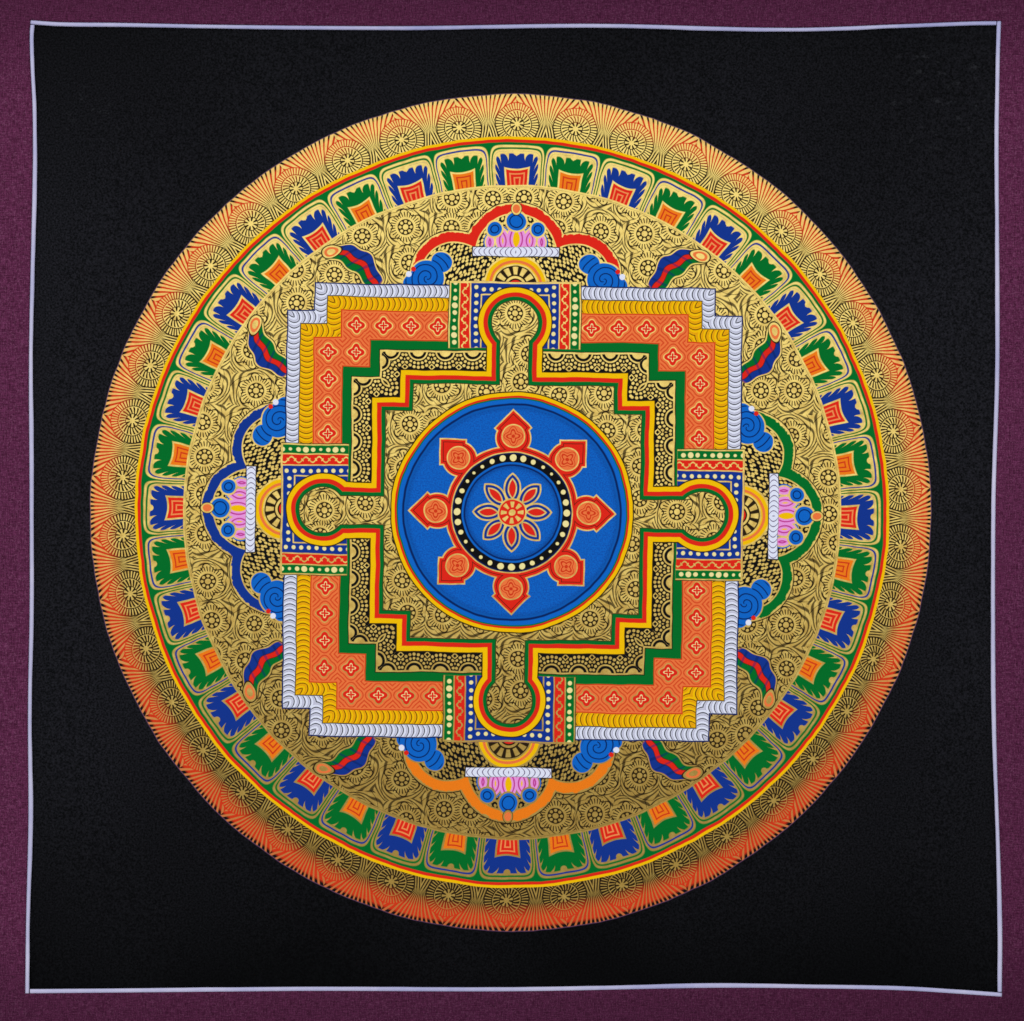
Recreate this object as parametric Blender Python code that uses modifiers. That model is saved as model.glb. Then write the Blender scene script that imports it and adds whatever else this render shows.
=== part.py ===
"""A hanging scroll painting: a square canvas, edged with narrow white piping and set in the window
of one plain cloth mount. It hangs from its top edge and shows its face to -Y.

Metres, +Z up. The origin is the middle of the mount's top edge.
"""
import math
from collections import namedtuple

import bmesh
import bpy

# Sizes of the scroll
WINDOW = 0.500             # side of the square inside the piping's centre lines
MOUNT_WIDTH = 0.640
MOUNT_ABOVE = 0.100        # mount cloth above the window
MOUNT_BELOW = 0.140        # mount cloth below the window
MOUNT_HEIGHT = MOUNT_ABOVE + WINDOW + MOUNT_BELOW
SIDE_DRAW_IN = 0.0020      # how far the mount's long edges draw in at half height
HEM_WIDTH = 0.012          # the mount's outer edge is turned to the back this far
HEM_STEP = 0.0006          # width of the slope from the hem down to the single cloth

# Thicknesses, and the layers' front faces, counted back from the plane of the top edge
CLOTH = 0.0010
HEM_THICKNESS = 0.0020
GAP = 0.0003               # clear space between two sewn layers
MOUNT_FACE = -HEM_THICKNESS / 2
PIPING_FACE = MOUNT_FACE + CLOTH + GAP
CANVAS_FACE = PIPING_FACE + CLOTH + GAP

# Seam allowances
PIPING_SHOWS = 0.0023      # width of the piping between the canvas and the mount
PIPING_TURN_IN = 0.0060    # piping hidden under the mount
CANVAS_MARGIN = 0.0070     # canvas hidden behind the piping and the mount

# The window's corners, from its nominal centre
WINDOW_CENTRE_Z = -MOUNT_ABOVE - WINDOW / 2
Corner = namedtuple("Corner", "right up")
TOP_LEFT = Corner(-0.2487, 0.2506)
TOP_RIGHT = Corner(0.2498, 0.2496)
BOTTOM_RIGHT = Corner(0.2503, -0.2510)
BOTTOM_LEFT = Corner(-0.2514, -0.2491)

# How far each edge of the window draws in from the straight line between its corners.
# share runs from left to right along the top and bottom, and from bottom to top at the sides.
Bow = namedtuple("Bow", "share inset_mm")
TOP_BOWS = (Bow(0.0, 0.0), Bow(0.20, 2.3), Bow(0.40, 2.7), Bow(0.57, 1.3),
            Bow(0.75, 3.4), Bow(0.92, 0.6), Bow(1.0, 0.0))
BOTTOM_BOWS = (Bow(0.0, 0.0), Bow(0.20, 1.0), Bow(0.50, 1.8), Bow(0.70, 4.0),
               Bow(0.85, 3.7), Bow(0.95, 1.3), Bow(1.0, 0.0))
LEFT_BOWS = (Bow(0.0, 0.0), Bow(0.07, 0.0), Bow(0.18, 0.9), Bow(0.40, 0.8),
             Bow(0.65, -0.1), Bow(0.85, 1.4), Bow(1.0, 0.0))
RIGHT_BOWS = (Bow(0.0, 0.0), Bow(0.08, 0.2), Bow(0.28, 3.0), Bow(0.50, 3.2),
              Bow(0.65, 0.9), Bow(0.87, 1.3), Bow(1.0, 0.0))

# Soft swells of the hanging cloth, each a long low mound that leans by lean_deg from the vertical.
# A positive depth goes back from the viewer, and a negative one comes forward.
Swell = namedtuple("Swell", "x z half_width half_length lean_deg depth")
SWELLS = (
    Swell(-0.33, -0.78, 0.090, 0.160, -35, -0.0065),   # lower left corner lifts
    Swell(0.34, -0.76, 0.080, 0.150, 30, -0.0050),     # lower right corner lifts
    Swell(-0.12, -0.73, 0.060, 0.110, 6, 0.0024),      # a ridge between two troughs in the
    Swell(0.03, -0.76, 0.060, 0.120, -8, -0.0022),     # band below the window
    Swell(0.17, -0.72, 0.060, 0.100, 4, 0.0020),
    Swell(-0.31, -0.33, 0.070, 0.220, 3, -0.0026),     # the long edges lift
    Swell(0.32, -0.45, 0.070, 0.200, -4, -0.0030),
    Swell(0.00, -0.36, 0.240, 0.260, 0, 0.0016),       # the stiff canvas bows back a little
    Swell(0.14, -0.16, 0.110, 0.180, 20, -0.0010),     # slack from the top corners
    Swell(-0.17, -0.10, 0.110, 0.150, -25, -0.0009),
)
TOP_HOLD = 0.060           # the swells fade out over this height below the straight top edge

# Divisions of the cloth
WINDOW_CELLS = 25
SIDE_CELLS = 3
TOP_CELLS = 4
BOTTOM_CELLS = 6

# Colours
CANVAS_BLACK = (0.012, 0.013, 0.016, 1.0)
PIPING_WHITE = (0.56, 0.56, 0.68, 1.0)
MOUNT_PLUM = (0.092, 0.020, 0.055, 1.0)


def clamp(value, low, high):
    return max(low, min(high, value))


def between(start, end, share):
    return start + (end - start) * share


def bow_at(bows, share):
    """How far an edge draws in at a share of its length, on a smooth curve through its rows."""
    last = len(bows) - 1
    i = max(row for row in range(last) if bows[row].share <= share)
    before, start, end, after = bows[max(i - 1, 0)], bows[i], bows[i + 1], bows[min(i + 2, last)]
    length = end.share - start.share
    slope_in = (end.inset_mm - before.inset_mm) / (end.share - before.share)
    slope_out = (after.inset_mm - start.inset_mm) / (after.share - start.share)
    t = (share - start.share) / length
    inset_mm = (
        start.inset_mm * (2 * t**3 - 3 * t**2 + 1)
        + end.inset_mm * (3 * t**2 - 2 * t**3)
        + length * slope_in * (t**3 - 2 * t**2 + t)
        + length * slope_out * (t**3 - t**2)
    )
    return inset_mm / 1000


def window_left(v):
    v = clamp(v, 0, 1)
    return between(BOTTOM_LEFT.right, TOP_LEFT.right, v) + bow_at(LEFT_BOWS, v)


def window_right(v):
    v = clamp(v, 0, 1)
    return between(BOTTOM_RIGHT.right, TOP_RIGHT.right, v) - bow_at(RIGHT_BOWS, v)


def window_bottom(u):
    u = clamp(u, 0, 1)
    return WINDOW_CENTRE_Z + between(BOTTOM_LEFT.up, BOTTOM_RIGHT.up, u) + bow_at(BOTTOM_BOWS, u)


def window_top(u):
    u = clamp(u, 0, 1)
    return WINDOW_CENTRE_Z + between(TOP_LEFT.up, TOP_RIGHT.up, u) - bow_at(TOP_BOWS, u)


def share_across(x):
    """The share of the window's width at x, between the middles of its left and right corners."""
    low = (TOP_LEFT.right + BOTTOM_LEFT.right) / 2
    high = (TOP_RIGHT.right + BOTTOM_RIGHT.right) / 2
    return (x - low) / (high - low)


def share_up(z):
    """The share of the window's height at z, between the middles of its lower and upper corners."""
    low = WINDOW_CENTRE_Z + (BOTTOM_LEFT.up + BOTTOM_RIGHT.up) / 2
    high = WINDOW_CENTRE_Z + (TOP_LEFT.up + TOP_RIGHT.up) / 2
    return (z - low) / (high - low)


def hang(x, z):
    """How far the hanging cloth stands back from the plane of its top edge."""
    depth = 0.0
    for swell in SWELLS:
        lean = math.radians(swell.lean_deg)
        dx, dz = x - swell.x, z - swell.z
        across = (dx * math.cos(lean) + dz * math.sin(lean)) / swell.half_width
        along = (dz * math.cos(lean) - dx * math.sin(lean)) / swell.half_length
        depth += swell.depth * math.exp(-across**2 - along**2)
    return depth * math.tanh(-z / TOP_HOLD)


def stations(*knots):
    """Evenly spaced values between knots, each a value and the cells from it to the next knot."""
    values = []
    for (start, cells), (end, _) in zip(knots, knots[1:]):
        values += [between(start, end, cell / cells) for cell in range(cells)]
    return values + [knots[-1][0]]


def new_material(name, colour, roughness):
    material = bpy.data.materials.new(name)
    material.use_nodes = True
    shader = material.node_tree.nodes["Principled BSDF"]
    shader.inputs["Base Color"].default_value = colour
    shader.inputs["Roughness"].default_value = roughness
    material.diffuse_color = colour
    return material


def new_sheet(name, columns, rows, place, face, material, collection, window=False, hem=None):
    """A sheet of cloth: a grid whose points go to place(column, row), with its front at face.
    A window leaves out the cells from 0 to 1 both ways. hem is the least and greatest column and
    the least and greatest row that are single cloth; the sheet is doubled to the back past them."""
    grid = bmesh.new()
    bmesh.ops.create_grid(grid, x_segments=len(columns) - 1, y_segments=len(rows) - 1, size=0.5)
    for vert in grid.verts:
        column = round((vert.co.x + 0.5) * (len(columns) - 1))
        row = round((vert.co.y + 0.5) * (len(rows) - 1))
        vert.co = (columns[column], rows[row], 0)
    if window:
        middles = [(cell, cell.calc_center_median()) for cell in grid.faces]
        inside = [cell for cell, middle in middles if 0 < middle.x < 1 and 0 < middle.y < 1]
        bmesh.ops.delete(grid, geom=inside, context="FACES")
    flat = [vert.co.copy() for vert in grid.verts]
    for vert in grid.verts:
        x, z = place(vert.co.x, vert.co.y)
        vert.co = (x, hang(x, z) + face, z)
    mesh = bpy.data.meshes.new(name)
    grid.to_mesh(mesh)
    grid.free()
    mesh.materials.append(material)
    mesh.shade_smooth()
    if mesh.polygons[0].normal.y > 0:
        mesh.flip_normals()
    sheet = bpy.data.objects.new(name, mesh)
    collection.objects.link(sheet)

    solidify = sheet.modifiers.new("Cloth thickness", "SOLIDIFY")
    solidify.offset = -1.0
    solidify.thickness = CLOTH
    if hem:
        first_column, last_column, first_row, last_row = hem
        doubled = [
            index
            for index, (u, v, _) in enumerate(flat)
            if not (first_column < u < last_column and first_row < v < last_row)
        ]
        group = sheet.vertex_groups.new(name="hem")
        group.add(doubled, 1.0, "REPLACE")
        solidify.thickness = HEM_THICKNESS
        solidify.vertex_group = group.name
        solidify.thickness_vertex_group = CLOTH / HEM_THICKNESS


def build_canvas(material, collection):
    """The painted canvas, which reaches under the piping and the mount all round."""
    margin = CANVAS_MARGIN / WINDOW
    shares = stations((-margin, 1), (0.0, WINDOW_CELLS), (1.0, 1), (1.0 + margin, 1))

    def place(u, v):
        x = between(window_left(v), window_right(v), u)
        z = between(window_bottom(u), window_top(u), v)
        return x, z

    new_sheet("painting", shares, shares, place, CANVAS_FACE, material, collection)


def build_piping(material, collection):
    """Four folded strips. Each runs through at one corner and butts against the next strip at the
    other: the top strip runs through at the top left corner, and so on clockwise."""
    inner = PIPING_SHOWS / 2
    outer = inner + PIPING_TURN_IN
    butt = inner + GAP

    def top(u, out):
        x = between(window_left(1) - outer, window_right(1) - butt, u)
        return x, window_top(share_across(x)) + out

    def right(out, v):
        z = between(window_bottom(1) + butt, window_top(1) + outer, v)
        return window_right(share_up(z)) + out, z

    def bottom(u, out):
        x = between(window_left(0) + butt, window_right(0) + outer, u)
        return x, window_bottom(share_across(x)) - out

    def left(out, v):
        z = between(window_bottom(0) - outer, window_top(0) - butt, v)
        return window_left(share_up(z)) - out, z

    lengthwise = stations((0.0, WINDOW_CELLS), (1.0, 1))
    widthwise = (-inner, outer)
    strips = (
        ("piping_top", lengthwise, widthwise, top),
        ("piping_right", widthwise, lengthwise, right),
        ("piping_bottom", lengthwise, widthwise, bottom),
        ("piping_left", widthwise, lengthwise, left),
    )
    for name, columns, rows, place in strips:
        new_sheet(name, columns, rows, place, PIPING_FACE, material, collection)


def band_stations(low_band, low_cells, high_band, high_cells):
    """Stations of the mount one way, from -1 at one outer edge to 0 and 1 at the window and 2 at
    the other edge, with the least and greatest value that are single cloth."""
    low_hem = -1.0 + HEM_WIDTH / low_band
    high_hem = 2.0 - HEM_WIDTH / high_band
    low_step = HEM_STEP / low_band
    high_step = HEM_STEP / high_band
    values = stations(
        (-1.0, 1), (low_hem, 1), (low_hem + low_step, low_cells), (0.0, WINDOW_CELLS),
        (1.0, high_cells), (high_hem - high_step, 1), (high_hem, 1), (2.0, 1),
    )
    return values, low_hem + low_step / 2, high_hem - high_step / 2


def build_mount(material, collection):
    """The mount is one cloth with a window, hemmed to the back round its outer edge."""
    inner = PIPING_SHOWS / 2
    side_band = (MOUNT_WIDTH - WINDOW) / 2
    columns, first_column, last_column = band_stations(side_band, SIDE_CELLS, side_band, SIDE_CELLS)
    rows, first_row, last_row = band_stations(MOUNT_BELOW, BOTTOM_CELLS, MOUNT_ABOVE, TOP_CELLS)

    def across(low_edge, low, high, high_edge, share):
        if share < 0:
            return between(low, low_edge, -share)
        if share > 1:
            return between(high, high_edge, share - 1)
        return between(low, high, share)

    def place(u, v):
        half_width = MOUNT_WIDTH / 2 - SIDE_DRAW_IN * math.sin(math.pi * (v + 1) / 3)
        x = across(-half_width, window_left(v) - inner, window_right(v) + inner, half_width, u)
        z = across(-MOUNT_HEIGHT, window_bottom(u) - inner, window_top(u) + inner, 0.0, v)
        return x, z

    new_sheet(
        "mount_cloth", columns, rows, place, MOUNT_FACE, material, collection,
        window=True, hem=(first_column, last_column, first_row, last_row),
    )


def main():
    for old in list(bpy.data.objects):
        bpy.data.objects.remove(old)
    collection = bpy.data.collections.new("Hanging scroll painting")
    bpy.context.scene.collection.children.link(collection)
    build_canvas(new_material("painted_canvas", CANVAS_BLACK, 0.75), collection)
    build_piping(new_material("piping_satin", PIPING_WHITE, 0.55), collection)
    build_mount(new_material("mount_cotton", MOUNT_PLUM, 0.85), collection)


main()
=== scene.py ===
import math
from collections import namedtuple

import bpy
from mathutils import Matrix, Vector, noise


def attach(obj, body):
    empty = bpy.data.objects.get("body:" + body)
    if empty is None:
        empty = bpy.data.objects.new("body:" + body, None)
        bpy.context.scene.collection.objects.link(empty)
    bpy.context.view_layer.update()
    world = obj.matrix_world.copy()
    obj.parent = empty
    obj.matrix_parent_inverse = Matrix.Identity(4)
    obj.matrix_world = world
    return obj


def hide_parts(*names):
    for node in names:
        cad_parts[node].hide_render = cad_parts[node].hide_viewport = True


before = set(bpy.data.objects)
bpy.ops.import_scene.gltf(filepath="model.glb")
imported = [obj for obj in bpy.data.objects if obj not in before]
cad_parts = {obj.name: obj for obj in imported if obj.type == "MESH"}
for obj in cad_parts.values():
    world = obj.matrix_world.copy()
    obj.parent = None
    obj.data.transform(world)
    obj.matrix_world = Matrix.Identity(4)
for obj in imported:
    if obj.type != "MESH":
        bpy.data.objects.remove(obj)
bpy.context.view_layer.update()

# Sizes that the scroll's solids have
WINDOW = 0.500             # side of the square inside the piping's centre lines
MOUNT_WIDTH = 0.640
MOUNT_ABOVE = 0.100
MOUNT_BELOW = 0.140
MOUNT_HEIGHT = MOUNT_ABOVE + WINDOW + MOUNT_BELOW
SIDE_BAND = (MOUNT_WIDTH - WINDOW) / 2
SIDE_DRAW_IN = 0.0020      # how far the mount's long edges draw in at half height
HEM_WIDTH = 0.012
HEM_STEP = 0.0006
MOUNT_FACE = -0.0010       # front faces of the sewn layers, before the cloth hangs
CANVAS_FACE = 0.0016
PIPING_SHOWS = 0.0023
PIPING_TURN_IN = 0.0060
PIPING_FACE = 0.0003       # the plane that the piping's section is measured back from
GAP = 0.0003

# Cloth as the eye sees it
CLOTH = 0.0008
HEM_THICKNESS = 0.0016
CANVAS_MARGIN = 0.0095     # canvas hidden behind the piping and the mount
FOLD_ROUND = 0.0008        # the mount's folded edge turns back over this width
FOLD_DEPTH = 0.0005
PUCKER_DEPTH = 0.00028     # the canvas puckers along its seams
PUCKER_REACH = 0.011
PUCKERS_ALONG = 62         # about how many puckers there are in a metre of seam
MOUNT_OVERLAP = 0.00012    # how far the mount's fold comes in over the piping

# Thread by thread
CANVAS_THREAD = 0.00055
MOUNT_THREAD = 0.00050
SATIN_THREAD = 0.00040
SEWING_THREAD = 0.00030
CANVAS_SLUB = (0.006, 0.0006)            # length and width of a thicker stretch of thread
MOUNT_SLUB = (0.0045, MOUNT_THREAD)

# The window's corners, from its nominal centre
WINDOW_CENTRE_Z = -MOUNT_ABOVE - WINDOW / 2
Corner = namedtuple("Corner", "right up")
TOP_LEFT = Corner(-0.2487, 0.2506)
TOP_RIGHT = Corner(0.2498, 0.2502)
BOTTOM_RIGHT = Corner(0.2499, -0.2508)
BOTTOM_LEFT = Corner(-0.2514, -0.2491)

# How far each edge of the window draws in from the straight line between its corners.
# share runs from left to right along the top and bottom, and from bottom to top at the sides.
Bow = namedtuple("Bow", "share inset_mm")
TOP_BOWS = (Bow(0.0, 0.0), Bow(0.03, 1.0), Bow(0.09, 1.3), Bow(0.20, 2.3), Bow(0.38, 2.8), Bow(0.58, 1.5),
            Bow(0.78, 3.6), Bow(0.90, 1.6), Bow(0.97, 0.2), Bow(1.0, 0.0))
BOTTOM_BOWS = (Bow(0.0, 0.0), Bow(0.20, 0.9), Bow(0.30, 1.4), Bow(0.50, 1.6), Bow(0.70, 3.7),
               Bow(0.82, 3.5), Bow(0.90, 2.8), Bow(0.95, 1.5), Bow(1.0, 0.0))
LEFT_BOWS = (Bow(0.0, 0.0), Bow(0.07, 0.1), Bow(0.18, 1.0), Bow(0.29, 0.5), Bow(0.40, 1.1), Bow(0.52, 0.7),
             Bow(0.66, 0.1), Bow(0.85, 1.5), Bow(0.91, 1.2), Bow(0.955, 0.0), Bow(0.985, -0.5),
             Bow(1.0, 0.0))
RIGHT_BOWS = (Bow(0.0, 0.0), Bow(0.08, -0.2), Bow(0.28, 2.8), Bow(0.50, 3.0), Bow(0.65, 0.9),
              Bow(0.87, 1.3), Bow(0.96, 0.7), Bow(1.0, 0.0))

# Soft swells of the hanging cloth. A positive depth goes back, and a negative one comes forward.
Swell = namedtuple("Swell", "x z half_width half_length lean_deg depth")
SWELLS = (
    Swell(-0.33, -0.78, 0.090, 0.160, -35, -0.0065),
    Swell(0.34, -0.76, 0.080, 0.150, 30, -0.0050),
    Swell(-0.12, -0.73, 0.060, 0.110, 6, 0.0024),
    Swell(0.03, -0.76, 0.060, 0.120, -8, -0.0022),
    Swell(0.17, -0.72, 0.060, 0.100, 4, 0.0020),
    Swell(-0.31, -0.33, 0.070, 0.220, 3, -0.0026),
    Swell(0.32, -0.45, 0.070, 0.200, -4, -0.0030),
    Swell(0.00, -0.36, 0.240, 0.260, 0, 0.0016),
    Swell(0.14, -0.16, 0.110, 0.180, 20, -0.0010),
    Swell(-0.17, -0.10, 0.110, 0.150, -25, -0.0009),
)
TOP_HOLD = 0.060           # the swells die away over this length below the top edge

# Where the camera and the lamps stand
VIEW_WIDTH = 0.5293        # width of the picture at the canvas
VIEW_MIDDLE = Vector((-0.00149, 0.003, -0.3513))
VIEW_DISTANCE = 1.60
SENSOR_WIDTH = 36.0
FLOOR_LEVEL = -1.10
SKY_COLOUR = (0.95, 0.97, 1.0, 1.0)
SKY_STRENGTH = 0.50
Lamp = namedtuple("Lamp", "name spot size power")
LAMPS = (
    Lamp("key lamp", Vector((-1.3, -2.2, 1.0)), 1.4, 38.0),
    Lamp("fill lamp", Vector((1.6, -2.0, 0.1)), 1.4, 16.0),
)


def clamp(value, low, high):
    return max(low, min(high, value))


def between(start, end, share):
    return start + (end - start) * share


def bow_at(bows, share):
    """How far an edge draws in at a share of its length, on a smooth curve through its rows."""
    last = len(bows) - 1
    i = max(row for row in range(last) if bows[row].share <= share)
    before, start, end, after = bows[max(i - 1, 0)], bows[i], bows[i + 1], bows[min(i + 2, last)]
    length = end.share - start.share
    slope_in = (end.inset_mm - before.inset_mm) / (end.share - before.share)
    slope_out = (after.inset_mm - start.inset_mm) / (after.share - start.share)
    t = (share - start.share) / length
    inset_mm = (
        start.inset_mm * (2 * t**3 - 3 * t**2 + 1)
        + end.inset_mm * (3 * t**2 - 2 * t**3)
        + length * slope_in * (t**3 - 2 * t**2 + t)
        + length * slope_out * (t**3 - t**2)
    )
    return inset_mm / 1000


def window_left(v):
    v = clamp(v, 0, 1)
    return between(BOTTOM_LEFT.right, TOP_LEFT.right, v) + bow_at(LEFT_BOWS, v)


def window_right(v):
    v = clamp(v, 0, 1)
    return between(BOTTOM_RIGHT.right, TOP_RIGHT.right, v) - bow_at(RIGHT_BOWS, v)


def window_bottom(u):
    u = clamp(u, 0, 1)
    return WINDOW_CENTRE_Z + between(BOTTOM_LEFT.up, BOTTOM_RIGHT.up, u) + bow_at(BOTTOM_BOWS, u)


def window_top(u):
    u = clamp(u, 0, 1)
    return WINDOW_CENTRE_Z + between(TOP_LEFT.up, TOP_RIGHT.up, u) - bow_at(TOP_BOWS, u)


def share_across(x):
    low = (TOP_LEFT.right + BOTTOM_LEFT.right) / 2
    high = (TOP_RIGHT.right + BOTTOM_RIGHT.right) / 2
    return (x - low) / (high - low)


def share_up(z):
    low = WINDOW_CENTRE_Z + (BOTTOM_LEFT.up + BOTTOM_RIGHT.up) / 2
    high = WINDOW_CENTRE_Z + (TOP_LEFT.up + TOP_RIGHT.up) / 2
    return (z - low) / (high - low)


def hang(x, z):
    """How far the hanging cloth stands back from the plane of its top edge."""
    depth = 0.0
    for swell in SWELLS:
        lean = math.radians(swell.lean_deg)
        dx, dz = x - swell.x, z - swell.z
        across = (dx * math.cos(lean) + dz * math.sin(lean)) / swell.half_width
        along = (dz * math.cos(lean) - dx * math.sin(lean)) / swell.half_length
        depth += swell.depth * math.exp(-across**2 - along**2)
    return depth * math.tanh(-z / TOP_HOLD)


def stations(*knots):
    """Evenly spaced values between knots, each a value and the cells from it to the next knot."""
    values = []
    for (start, cells), (end, _) in zip(knots, knots[1:]):
        values += [between(start, end, cell / cells) for cell in range(cells)]
    return values + [knots[-1][0]]


# Nodes

def pigment(red, green, blue):
    """A colour given from 0 to 255, as the shader wants it."""
    def linear(value):
        share = value / 255
        return share / 12.92 if share <= 0.04045 else ((share + 0.055) / 1.055) ** 2.4
    return (linear(red), linear(green), linear(blue), 1.0)


class Reading:
    """A number that changes over a cloth, as one output of its material's nodes."""

    def __init__(self, tree, socket):
        self.tree, self.socket = tree, socket

    def do(self, operation, *others, clamped=False):
        node = self.tree.nodes.new("ShaderNodeMath")
        node.operation = operation
        node.use_clamp = clamped
        plug(self.tree, self, node.inputs[0])
        for place, value in enumerate(others, 1):
            plug(self.tree, value, node.inputs[place])
        return Reading(self.tree, node.outputs[0])

    def __add__(self, other):
        return self.do("ADD", other)

    __radd__ = __add__

    def __mul__(self, other):
        return self.do("MULTIPLY", other)

    __rmul__ = __mul__

    def __sub__(self, other):
        return self.do("SUBTRACT", other)

    def __rsub__(self, other):
        return self.do("MULTIPLY_ADD", -1.0, other)

    def __neg__(self):
        return self.do("MULTIPLY", -1.0)

    def __abs__(self):
        return self.do("ABSOLUTE")

    def least(self, other):
        return self.do("MINIMUM", other)

    def most(self, other):
        return self.do("MAXIMUM", other)

    def sine(self):
        return self.do("SINE")

    def cosine(self):
        return self.do("COSINE")

    def scaled(self, factor, shift):
        return self.do("MULTIPLY_ADD", factor, shift)

    def below(self, edge, soft=0.3):
        """1 where the reading is under edge and 0 over it, with a soft step between."""
        if isinstance(edge, Reading):
            return (self - edge).below(0.0, soft)
        return self.do("MULTIPLY_ADD", -1.0 / soft, edge / soft + 0.5, clamped=True)

    def above(self, edge, soft=0.3):
        if isinstance(edge, Reading):
            return (self - edge).above(0.0, soft)
        return self.do("MULTIPLY_ADD", 1.0 / soft, 0.5 - edge / soft, clamped=True)

    def inside(self, low, high, soft=0.3):
        return abs(self - (low + high) / 2).below((high - low) / 2, soft)

    def line(self, middle, half_width, soft=0.3):
        return abs(self - middle).below(half_width, soft)

    def wrap(self, half):
        """The same reading over and over, from -half to half."""
        return self.do("WRAP", half, -half)


def plug(tree, value, socket):
    if isinstance(value, Reading):
        tree.links.new(value.socket, socket)
    elif isinstance(value, bpy.types.NodeSocket):
        tree.links.new(value, socket)
    else:
        socket.default_value = value


def joined(x, y=0.0, z=0.0):
    """Three readings as one vector socket."""
    tree = x.tree
    node = tree.nodes.new("ShaderNodeCombineXYZ")
    for place, value in enumerate((x, y, z)):
        plug(tree, value, node.inputs[place])
    return node.outputs[0]


def reach(x, y):
    """How far the point x, y is from the middle."""
    tree = x.tree
    node = tree.nodes.new("ShaderNodeVectorMath")
    node.operation = "LENGTH"
    tree.links.new(joined(x, y), node.inputs[0])
    return Reading(tree, node.outputs["Value"])


def bearing(x, y):
    """The angle of the point x, y from straight up, clockwise."""
    return x.do("ARCTAN2", y)


def mixed(tree, share, first, second):
    """A colour between two, by share."""
    node = tree.nodes.new("ShaderNodeMix")
    node.data_type = "RGBA"
    plug(tree, share, node.inputs[0])
    plug(tree, first, node.inputs[6])
    plug(tree, second, node.inputs[7])
    return node.outputs[2]


def speckle(tree, place, scale, detail=2.0, roughness=0.5):
    """Even noise about 0.5 over a place vector, with spots of about 1 / scale."""
    node = tree.nodes.new("ShaderNodeTexNoise")
    tree.links.new(place, node.inputs["Vector"])
    node.inputs["Scale"].default_value = scale
    node.inputs["Detail"].default_value = detail
    node.inputs["Roughness"].default_value = roughness
    return Reading(tree, node.outputs["Fac"]), node.outputs["Color"]


def stretched(tree, place, factors, move=(0.0, 0.0, 0.0)):
    """A place vector times factors, plus a shift."""
    node = tree.nodes.new("ShaderNodeVectorMath")
    node.operation = "MULTIPLY_ADD"
    tree.links.new(place, node.inputs[0])
    node.inputs[1].default_value = factors
    node.inputs[2].default_value = move
    return node.outputs[0]


def parted(tree, place):
    node = tree.nodes.new("ShaderNodeSeparateXYZ")
    tree.links.new(place, node.inputs[0])
    return [Reading(tree, output) for output in node.outputs]


def new_finish(name, roughness, specular):
    """A new material, its tree, its shader and a vector of the place on the piece."""
    finish = bpy.data.materials.new(name)
    finish.use_nodes = True
    tree = finish.node_tree
    shader = tree.nodes["Principled BSDF"]
    shader.inputs["Roughness"].default_value = roughness
    shader.inputs["Specular IOR Level"].default_value = specular
    place = tree.nodes.new("ShaderNodeTexCoord").outputs["Object"]
    return finish, tree, shader, place


def raise_threads(tree, shader, height, distance, strength=1.0):
    bump = tree.nodes.new("ShaderNodeBump")
    bump.inputs["Strength"].default_value = strength
    bump.inputs["Distance"].default_value = distance
    plug(tree, height, bump.inputs["Height"])
    tree.links.new(bump.outputs["Normal"], shader.inputs["Normal"])


def weave(tree, place, pitch):
    """Height from 0 to 1 of a plain weave in the XZ plane."""
    x, _, z = parted(tree, place)
    across = (x * (math.pi / pitch)).sine()
    up = (z * (math.pi / pitch)).sine()
    over = (across * up).above(0.0, 1.2)
    warp = 1.0 - across * across
    weft = 1.0 - up * up
    return warp * over + weft * (1.0 - over)


def slubs(tree, place, length, width):
    """Threads that are thicker and thinner along their length, both ways of the cloth."""
    lying_place = stretched(tree, place, (1 / length, 0.0, 1 / width))
    upright_place = stretched(tree, place, (1 / width, 0.0, 1 / length), (7.3, 0.0, 3.1))
    lying, _ = speckle(tree, lying_place, 1.0)
    upright, _ = speckle(tree, upright_place, 1.0)
    return lying, upright


# The picture's colours
BLACK = pigment(15, 15, 17)
GOLD_LIGHT = pigment(248, 219, 124)
GOLD_SHADE = pigment(200, 164, 80)
GOLD_PAINTED_SHADE = pigment(130, 104, 50)  # painted shade: the gold darkens towards the bottom, where less light falls
STROKE = pigment(40, 28, 14)
GREEN = pigment(0, 108, 40)
PETAL_BLUE = pigment(18, 52, 140)
BRIGHT_BLUE = pigment(14, 100, 196)
DEEP_BLUE = pigment(6, 34, 92)
BROWN = pigment(104, 50, 10)
RED = pigment(222, 38, 24)
BRUSH_RED = pigment(206, 54, 24)
ORANGE = pigment(236, 118, 62)
AMBER = pigment(238, 146, 82)
# a darker amber, painted shade for the bottom of the ray ring
AMBER_SHADED = pigment(194, 104, 56)
TANGERINE = pigment(238, 124, 24)
YELLOW = pigment(242, 190, 4)
WHITE = pigment(224, 228, 246)
CREAM = pigment(240, 226, 156)
PINK = pigment(232, 150, 220)
ROSE = pigment(190, 60, 146)
MAUVE = pigment(76, 48, 98)

# Rings and sides of the picture, in millimetres
PICTURE_MIDDLE = (-0.00213, 0.0, -0.3524)
PICTURE_TURN = math.radians(0.8)
PICTURE_SCALE = (0.0010068, 1.0, 0.0010024)
INNER_SHIFT = (0.7, 0.2)   # the rings and the palace sit a little right of and above the disc's middle
SHIFT_EDGE = 204.0         # half of that shift is reached here, on the way in
SHIFT_SOFT = 14.0
SWAY = 1.6                 # how far a line wanders in all, in long waves and in short ones
TREMBLE = 0.36
DISC = 215.5
RAYS_IN = 194.0
PETALS_OUT = 190.4
PETALS_IN = 167.7
WALL = 116.3               # half the palace's side
WALL_CORNER = 102.3        # where the palace's corners step in
COURT = 65.8               # half the court's side
COURT_CORNER = 51.8
NICHE_HALF = 7.5           # half the width of a niche's neck
NICHE_END = 98.0
NICHE_HEAD = 97.4          # the middle of a niche's round head
NICHE_ROUND = 12.0
WELL = 62.0                # the round at the centre
SHELLS = 42
PETALS = 40
PITCH = WALL - WALL_CORNER  # repeats along the walls, so that they turn the stepped corners whole
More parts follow.
